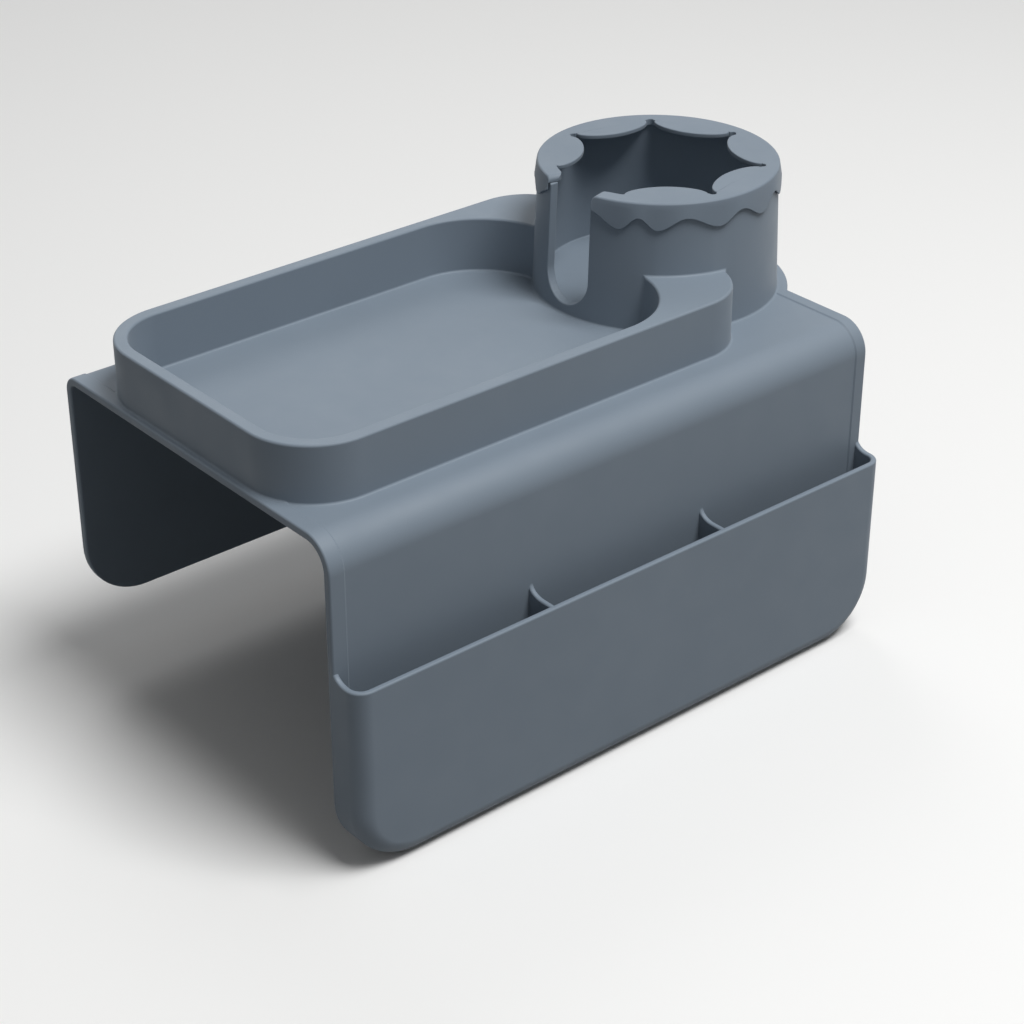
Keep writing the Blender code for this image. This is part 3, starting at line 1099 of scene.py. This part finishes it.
@dataclass
class GripCap:
    """The cap ring: a flat plate with petals inside and a dripping skirt outside."""

    finish: bpy.types.Material
    axis: Vector
    plate: float = 3.0 * MM
    trim: float = 0.4 * MM        # how much slimmer the skirt is than its room in the frame
    skirt_wall: float = 0.9 * MM
    skirt_draft: float = 1.3 * MM
    rounding: float = 0.9 * MM
    rounding_steps: int = 5
    lip: float = 0.4 * MM
    lip_steps: int = 3
    mouth: float = 31.4 * MM
    nose_side_length: float = 2.6 * MM
    nose_drop: float = 2.4 * MM
    nose_rise: float = 1.1 * MM
    nose_length: float = 5.0 * MM
    nose_plan: float = 3.6 * MM
    crest: float = 7.2 * MM
    drip: float = 5.6 * MM
    drip_width_shares: tuple[float, ...] = (0.98, 0.93, 1.20, 1.13, 0.92, 0.92, 0.92)
    drip_depth_shares: tuple[float, ...] = (1.10, 1.00, 1.00, 1.12, 0.95, 0.86, 0.98)
    drip_tip_shares: tuple[float, ...] = (0.61, 0.39, 0.58, 0.56, 0.52, 0.47, 0.50)
    petals: int = 6
    petal_thickness: float = 2.2 * MM
    petal_root_inset: float = 9.3 * MM
    slit_root: float = 1.7 * MM
    petal_length: float = 13.1 * MM
    petal_pitch_share: float = 0.94
    petal_width_share: float = 0.895
    petal_roundness: float = 1.8
    petal_edge: float = 0.55 * MM
    join_gap: float = 0.3 * MM
    flex_length: float = 3.0 * MM
    flex_cuts: int = 7
    steps: int = 328
    nose_steps: int = 10
    bore_sides: int = 360
    slit_root_sides: int = 16
    petal_points: int = 72

    @property
    def top(self) -> float:
        """The cap's top face."""
        return box("grip_collar")[1].z

    @property
    def radius(self) -> float:
        """The skirt's outer radius."""
        low, high = box("grip_collar")
        return (high.y - low.y) / 2 - self.trim

    @property
    def half_mouth(self) -> float:
        """Half the mouth's width as an angle."""
        return atan2(self.mouth / 2, self.radius)

    @property
    def pitch(self) -> float:
        """The angle between two petals."""
        return 2 * pi / (self.petals + 1)

    @property
    def root_radius(self) -> float:
        """The radius of the roots of the slits between petals."""
        return self.radius - self.petal_root_inset

    @property
    def hinge(self) -> float:
        """How far from the axis a petal's root line lies."""
        return self.root_radius * cos(self.pitch * self.petal_pitch_share / 2)

    def directions(self) -> list[float]:
        """The petals' directions from the cup's axis: the mouth faces -X."""
        first = -(self.petals - 1) / 2
        return [(first + number) * self.pitch for number in range(self.petals)]

    def build_ring(self) -> None:
        """Model the ring, riding on the cap."""
        ring = self.turn_section()
        self.hang_drips(ring)
        self.lower_noses(ring)
        join_in(ring, self.bore_cutter(), Joinery.CUT)
        clean(ring)
        self.round_noses(ring)
        round_edges(ring, self.radius_at, self.lip_steps)
        clean(ring)
        smooth(ring)
        dress(ring, self.finish)
        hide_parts("grip_collar")
        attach(ring, "grip_cap")

    def turn_section(self) -> bpy.types.Object:
        """Turn the ring's section round the cup's axis, from one side of the mouth to the other.

        Returns:
            A closed ring with a level skirt.
        """
        put_down()
        inner = self.root_radius - self.petal_root_inset
        skirt_inner = self.radius - self.skirt_wall
        start = self.half_mouth - pi
        under = self.top - self.plate
        bpy.ops.mesh.primitive_plane_add(size=1, rotation=(SQUARE, 0, 0))
        section = settle("cap_ring")
        for point in section.data.vertices:
            point.co = (self.radius if point.co.x > 0 else inner, 0,
                        self.top if point.co.z > 0 else under)
        slice_at(section, Vector((skirt_inner, 0, 0)), Vector((1, 0, 0)))
        put_down()
        choose_edges(section, lambda a, b: max(a.z, b.z) < under + TIDY
                     and min(a.x, b.x) > skirt_inner - TIDY)
        draw_out((0, 0, self.plate - self.crest))
        put_down()
        for point in section.data.vertices:
            at_top = point.co.z > self.top - TIDY and point.co.x > skirt_inner - TIDY
            if at_top or point.co.x > self.radius - TIDY:
                point.co.x -= self.skirt_draft * (1 - (self.top - point.co.z) / self.crest)
        rim = self.radius - self.skirt_draft
        choose_points(section, lambda co: co.x > rim - TIDY and co.z > self.top - TIDY)
        round_chosen(self.rounding, self.rounding_steps, Part.POINTS)
        put_down()
        choose_points(section, lambda co: co.z < self.top - self.crest + TIDY)
        round_chosen(self.lip, self.lip_steps, Part.POINTS)
        put_down()
        turn_points = [(point.co.x, point.co.z) for point in section.data.vertices]
        for point, (out, height) in zip(section.data.vertices, turn_points):
            point.co = (self.axis.x + out * cos(start), self.axis.y + out * sin(start), height)
        open_up(section, Part.FACES)
        bpy.ops.mesh.select_all(action="SELECT")
        nose = self.nose_length / self.radius
        marks = [nose * (1 - cos(SQUARE * number / self.nose_steps))
                 for number in range(self.nose_steps + 1)]
        ends = [(mark - last, 1) for last, mark in zip(marks, marks[1:])]
        sweep = 2 * (pi - self.half_mouth)
        for angle, steps in (*ends, (sweep - 2 * nose, self.steps), *reversed(ends)):
            bpy.ops.mesh.spin(steps=steps, angle=-angle, center=self.axis, axis=(0, 0, 1))
        put_down()
        clean(section, join_flats=False)
        return section

    def around(self, place: Vector) -> tuple[float, float]:
        """A point's distance from the cup's axis, and its angle from +X."""
        return (hypot(place.x - self.axis.x, place.y - self.axis.y),
                atan2(place.y - self.axis.y, place.x - self.axis.x))

    def drip_depth(self, share: float) -> float:
        """The skirt's depth below the cap's top.

        Args:
            share: the way round from the mouth, from 0 to 1.

        Returns:
            The depth in metres.
        """
        widths = self.drip_width_shares + self.drip_width_shares[::-1]
        depths = self.drip_depth_shares + self.drip_depth_shares[::-1]
        tips = self.drip_tip_shares + tuple(1 - tip for tip in self.drip_tip_shares[::-1])
        place = share * sum(widths)
        for width, depth, tip in zip(widths, depths, tips):
            if place <= width:
                along = place / width
                phase = along / tip / 2 if along < tip else 1 - (1 - along) / (1 - tip) / 2
                return self.crest + self.drip * depth * (1 - cos(2 * pi * phase)) / 2
            place -= width
        return self.crest

    def hang_drips(self, ring: bpy.types.Object) -> None:
        """Draw the skirt's lower edge down into drips.

        Args:
            ring: the ring with a level skirt.
        """
        sweep = 2 * (pi - self.half_mouth)
        for point in ring.data.vertices:
            depth = self.top - point.co.z
            if depth > self.plate + TIDY:
                angle = self.around(point.co)[1]
                share = (angle + pi - self.half_mouth) / sweep
                longer = self.drip_depth(min(max(share, 0), 1)) - self.crest
                pull = min((depth - self.plate) / (self.crest - self.plate - self.lip), 1)
                point.co.z -= longer * pull

    def lower_noses(self, ring: bpy.types.Object) -> None:
        """Round the two ends beside the mouth, seen from the side.

        Args:
            ring: the ring, before its bore is cut.
        """
        for point in ring.data.vertices:
            share = self.pull_share(point.co, self.nose_side_length)
            above = (point.co.z - self.top + self.plate) / self.plate
            below = (self.top - self.plate - point.co.z) / (self.crest - self.plate)
            point.co.z -= self.nose_drop * share * min(max(above, 0), 1)
            point.co.z += self.nose_rise * share * min(max(below, 0), 1)

    def round_noses(self, ring: bpy.types.Object) -> None:
        """Round the inner corner of the two ends beside the mouth, seen from above.

        Args:
            ring: the ring with its bore.
        """
        for point in ring.data.vertices:
            out = self.around(point.co)[0]
            if out < (self.radius + self.root_radius) / 2:
                scale = self.nose_plan * self.pull_share(point.co, self.nose_length) / out
                point.co.x += (point.co.x - self.axis.x) * scale
                point.co.y += (point.co.y - self.axis.y) * scale

    def pull_share(self, place: Vector, length: float) -> float:
        """How far a nose is drawn in at a point.

        Args:
            place: the point.
            length: how far from the mouth the nose begins, along the rim.

        Returns:
            A share from 0 where the nose begins to 1 at the mouth.
        """
        from_mouth = (pi - self.half_mouth - abs(self.around(place)[1])) * self.radius
        short = min(max(1 - from_mouth / length, 0), 1)
        return 1 - sqrt(1 - short ** 2)

    def bore_cutter(self) -> bpy.types.Object:
        """Model the space inside the ring.

        Returns:
            A cutter, straight along each petal's root and round at the slits.
        """
        low, high = self.top - self.plate - REACH, self.top + REACH
        cutter = add_drum("cap_bore", self.root_radius + self.join_gap, self.axis, low, high,
                          self.bore_sides)
        for direction in self.directions():
            outward = Vector((cos(direction), sin(direction), 0))
            open_up(cutter, Part.FACES)
            bpy.ops.mesh.select_all(action="SELECT")
            bpy.ops.mesh.bisect(
                plane_co=self.axis + outward * (self.hinge + self.join_gap),
                plane_no=outward, use_fill=True, clear_outer=True)
        put_down()
        for direction in self.slits():
            root = add_drum("slit_root", self.slit_root, Vector((self.root_radius, 0, 0)),
                            low, high, self.slit_root_sides)
            self.turn_to(root, direction)
            join_in(cutter, root, Joinery.ADD)
        return cutter

    def slits(self) -> list[float]:
        """The directions of the slits between petals."""
        directions = self.directions()
        return [(one + other) / 2 for one, other in zip(directions, directions[1:])]

    def turn_to(self, piece: bpy.types.Object, direction: float) -> None:
        """Turn a piece that was made about the origin, and move it to the cup's axis.

        Args:
            piece: the piece, made for the direction +X.
            direction: its new direction in radians.
        """
        piece.rotation_euler = (0, 0, direction)
        piece.location = (self.axis.x, self.axis.y, 0)
        pick_up(piece)
        bpy.ops.object.transform_apply(location=True, rotation=True, scale=True)

    def radius_at(self, site: EdgeSite) -> float:
        """How far to round an edge: only the top edges of the slits' roots.

        Args:
            site: the edge.

        Returns:
            The radius, or 0.
        """
        if site.middle.z < self.top - TIDY:
            return 0.0
        out, angle = self.around(site.middle)
        away = min(abs(angle - slit) for slit in self.slits())
        near = hypot(out * cos(away) - self.root_radius, out * sin(away))
        return self.lip if abs(near - self.slit_root) < SLACK else 0.0

    def build_petals(self) -> None:
        """Model one petal and place a copy at each root, blended from the cap to its own body."""
        first = self.petal()
        for number, direction in enumerate(self.directions(), 1):
            put_down()
            petal = first.copy()
            petal.data = first.data.copy()
            petal.name = "petal_" + str(number) + "_skin"
            bpy.context.collection.objects.link(petal)
            self.turn_to(petal, direction)
            dress(petal, self.finish)
            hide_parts("grip_petal_" + str(number))
            outward = Vector((cos(direction), sin(direction), 0))
            root = self.axis + outward * (self.hinge + self.join_gap)
            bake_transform(petal, "grip_cap", "petal_" + str(number), start=root,
                     end=root - outward * self.flex_length)
        bpy.data.objects.remove(first, do_unlink=True)

    def petal(self) -> bpy.types.Object:
        """Model a petal that points from +X towards the cup's axis, about that axis.

        Returns:
            The petal.
        """
        put_down()
        half = self.root_radius * sin(self.pitch * self.petal_width_share / 2)
        reach = self.hinge - (self.root_radius - self.petal_length)
        root = self.hinge + self.join_gap
        bpy.ops.mesh.primitive_circle_add(vertices=self.petal_points, radius=1, fill_type="NGON")
        petal = settle("petal")
        power = 2 / self.petal_roundness
        for point in petal.data.vertices:
            across, along = point.co.y, point.co.x
            point.co.x = self.hinge - reach * abs(along) ** power * (1 if along < 0 else -1)
            point.co.y = half * abs(across) ** power * (1 if across > 0 else -1)
            point.co.z = self.top
        open_up(petal, Part.FACES)
        bpy.ops.mesh.select_all(action="SELECT")
        bpy.ops.mesh.bisect(plane_co=(self.hinge, 0, 0), plane_no=(1, 0, 0), clear_outer=True)
        put_down()
        choose_edges(petal, lambda a, b: min(a.x, b.x) > self.hinge - TIDY)
        draw_out((self.join_gap, 0, 0))
        bpy.ops.mesh.select_all(action="SELECT")
        bpy.ops.mesh.dissolve_limited(angle_limit=FLAT_TURN)
        bpy.ops.mesh.select_all(action="SELECT")
        draw_out((0, 0, -self.petal_thickness))
        put_down()
        clean(petal)
        round_edges(petal, lambda site: 0.0 if site.middle.x > root - TIDY
                    or abs(site.along.z) > 0.5 else self.petal_edge, self.lip_steps)
        for cut in range(self.flex_cuts):
            place = root - self.flex_length * cut / (self.flex_cuts - 1)
            slice_at(petal, Vector((place, 0, 0)), Vector((1, 0, 0)))
        put_down()
        smooth(petal)
        return petal


# Studio

@dataclass(frozen=True)
class Lamp:
    """A soft rectangular lamp that faces a point."""

    name: str
    place: tuple[float, float, float]
    aim: tuple[float, float, float]
    size: float
    power: float
    colour: str = "#FFFFFF"

    def hang(self) -> None:
        """Add the lamp."""
        light = bpy.data.lights.new(self.name, "AREA")
        light.shape = "SQUARE"
        light.size = self.size
        light.energy = self.power
        light.color = linear(self.colour)[:3]
        lamp = bpy.data.objects.new(self.name, light)
        bpy.context.collection.objects.link(lamp)
        lamp.location = self.place
        turn = (Vector(self.aim) - Vector(self.place)).to_track_quat("-Z", "Y")
        lamp.rotation_euler = turn.to_euler()


@dataclass
class Studio:
    """A pale floor, soft lamps and the camera."""

    floor_height: float
    floor_colour: str = "#F1F1F0"
    floor_size: float = 12.0
    floor_roughness: float = 0.8
    lens: float = 84.4
    sensor: float = 36.0
    sight: float = 20.0
    camera_place: tuple[float, float, float] = (-0.6213, -0.76275, 0.4840)
    camera_tilt: float = 60.1
    camera_heading: float = -40.16
    lamps: tuple[Lamp, ...] = (
        Lamp("key", (0.30, -0.80, 2.0), (0, 0, 0), 1.0, 47),
        Lamp("rear_rim", (0.7, 1.5, 1.6), (0, 0, 0), 0.9, 6),
    )
    ambient: float = 0.17
    bounce: str = "#5A5A5A"

    def set_up(self) -> None:
        """Add floor, lamps, world and camera."""
        self.lay_floor()
        for lamp in self.lamps:
            lamp.hang()
        self.fill_world()
        self.place_camera()
        bpy.context.scene.view_settings.view_transform = "Standard"

    def lay_floor(self) -> None:
        """A wide matt floor, drawn white to the camera."""
        put_down()
        bpy.ops.mesh.primitive_plane_add(size=self.floor_size, location=(0, 0, self.floor_height))
        floor = settle("floor")
        material = bpy.data.materials.new("painted_floor")
        material.use_nodes = True
        tree = material.node_tree
        shader = tree.nodes["Principled BSDF"]
        shader.inputs["Roughness"].default_value = self.floor_roughness
        tone = add_node(tree, "ShaderNodeMix", {"data_type": "RGBA"}, {"Factor": self.seen(tree)})
        tone.inputs[6].default_value = linear(self.bounce)
        tone.inputs[7].default_value = linear(self.floor_colour)
        tree.links.new(tone.outputs[2], shader.inputs["Base Color"])
        floor.data.materials.append(material)

    def seen(self, tree: bpy.types.NodeTree) -> bpy.types.NodeSocket:
        """1 where a surface is looked at, or seen in gloss or through glass, else 0.

        Args:
            tree: the node tree of a floor or backdrop.

        Returns:
            The value.
        """
        path = add_node(tree, "ShaderNodeLightPath", {}, {})
        total = path.outputs["Is Camera Ray"]
        for name in ("Is Glossy Ray", "Is Transmission Ray"):
            either = add_node(tree, "ShaderNodeMath", {"operation": "MAXIMUM"}, {})
            tree.links.new(total, either.inputs[0])
            tree.links.new(path.outputs[name], either.inputs[1])
            total = either.outputs[0]
        return total

    def fill_world(self) -> None:
        """An even pale surround, white where it is looked at."""
        world = bpy.data.worlds.new("surround")
        bpy.context.scene.world = world
        world.use_nodes = True
        tree = world.node_tree
        backdrop = tree.nodes["Background"]
        backdrop.inputs["Color"].default_value = linear("#FFFFFF")
        strength = add_node(tree, "ShaderNodeMapRange", {
            "To Min": self.ambient, "To Max": 1.0}, {"Value": self.seen(tree)})
        tree.links.new(strength.outputs[0], backdrop.inputs["Strength"])

    def place_camera(self) -> None:
        """The camera at the picture's viewpoint."""
        lens = bpy.data.cameras.new("camera")
        lens.lens = self.lens
        lens.sensor_width = self.sensor
        lens.clip_end = self.sight
        camera = bpy.data.objects.new("camera", lens)
        bpy.context.collection.objects.link(camera)
        camera.location = self.camera_place
        camera.rotation_euler = (radians(self.camera_tilt), 0, radians(self.camera_heading))
        bpy.context.scene.camera = camera


def main() -> None:
    """Build every piece and the studio."""
    logging.basicConfig(level=logging.INFO, format="%(message)s")
    saddle = MouldedSilicone("moulded_silicone_saddle", "#76828E", "#7D8995").make()
    cap = MouldedSilicone("moulded_silicone_cap", "#707C88", "#778390").make()
    skin = Skin()
    top = TopMoulding(skin, saddle)
    top.build()
    Bend(Side.FRONT, skin, saddle).build()
    Bend(Side.REAR, skin, saddle).build()
    panel = PocketPanel(Side.FRONT, skin, saddle)
    panel.build()
    RearFlap(Side.REAR, skin, saddle).build()
    grip = GripCap(cap, top.axis)
    grip.build_ring()
    grip.build_petals()
    Studio(floor_height=panel.bottom - 0.5 * MM).set_up()


if __name__ == "__main__":
    main()
